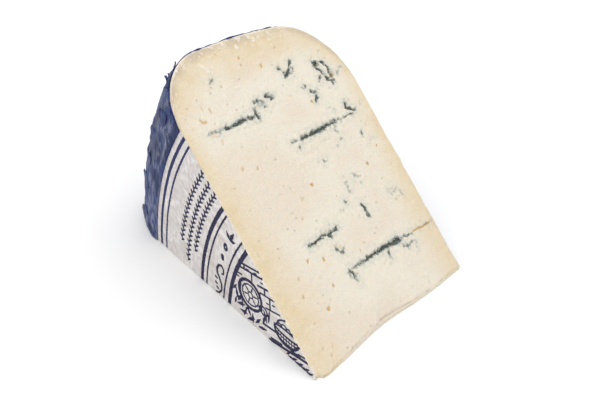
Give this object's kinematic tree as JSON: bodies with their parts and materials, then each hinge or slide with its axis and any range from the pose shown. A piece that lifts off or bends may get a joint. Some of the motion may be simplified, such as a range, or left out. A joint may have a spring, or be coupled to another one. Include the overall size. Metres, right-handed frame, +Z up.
{
  "type": "cheese wedge",
  "caption": "Wedge of blue-veined cheese cut from a round wheel, lying on a cut face, with blue paper on the rind side and a printed paper label on the flat face.",
  "frame": {"origin": "the middle of the base of the whole wedge's box, on the surface that it lies on", "axes": "+Z up, +X from the rind side to the thin tip, -Y out of the labelled face, Y parallel to the wheel's axis"},
  "size_m": [0.1166, 0.08, 0.076],
  "materials": {
    "paste": "moist ivory cheese paste, yellower along the rind, with blue-green mould veins and pits",
    "blue_paper": "crumpled waxed blue paper with a dull sheen and paler worn streaks",
    "label_paper": "off-white printed label paper, slightly damp and mottled, with dark blue line ornament"
  },
  "bodies": {
    "root": {"cheese": "paste", "wrapper": "blue_paper", "label": "label_paper"}
  },
  "joints": []
}
